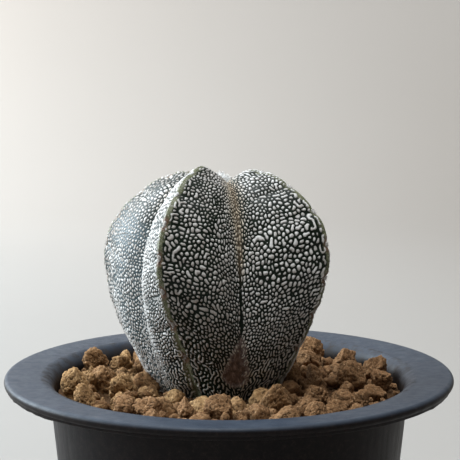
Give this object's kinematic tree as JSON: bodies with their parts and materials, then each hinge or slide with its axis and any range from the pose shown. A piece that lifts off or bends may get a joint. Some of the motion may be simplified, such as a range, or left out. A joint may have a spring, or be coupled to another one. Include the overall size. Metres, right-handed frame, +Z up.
{
  "type": "potted cactus",
  "caption": "Bishop's cap cactus with deep sharp ribs and pale flecks, in tan granular substrate in a round dark plastic pot with a broad flared rim.",
  "frame": {"origin": "middle of the pot's underside, at the plane it stands on", "axes": "+Z up out of the pot, front of the picture towards -Y, +X to the right in the picture"},
  "size_m": [0.09, 0.09, 0.1178],
  "materials": {
    "pot_plastic": "near-black moulded plastic, satin",
    "tan_grain": "dry porous mineral grains",
    "flecked_skin": "dark green skin under pale woolly flecks",
    "crown_wool": "short cream wool"
  },
  "bodies": {
    "root": {"pot": "pot_plastic", "substrate": "tan_grain", "cactus_body": "flecked_skin", "crown_wool": "crown_wool"}
  },
  "joints": []
}
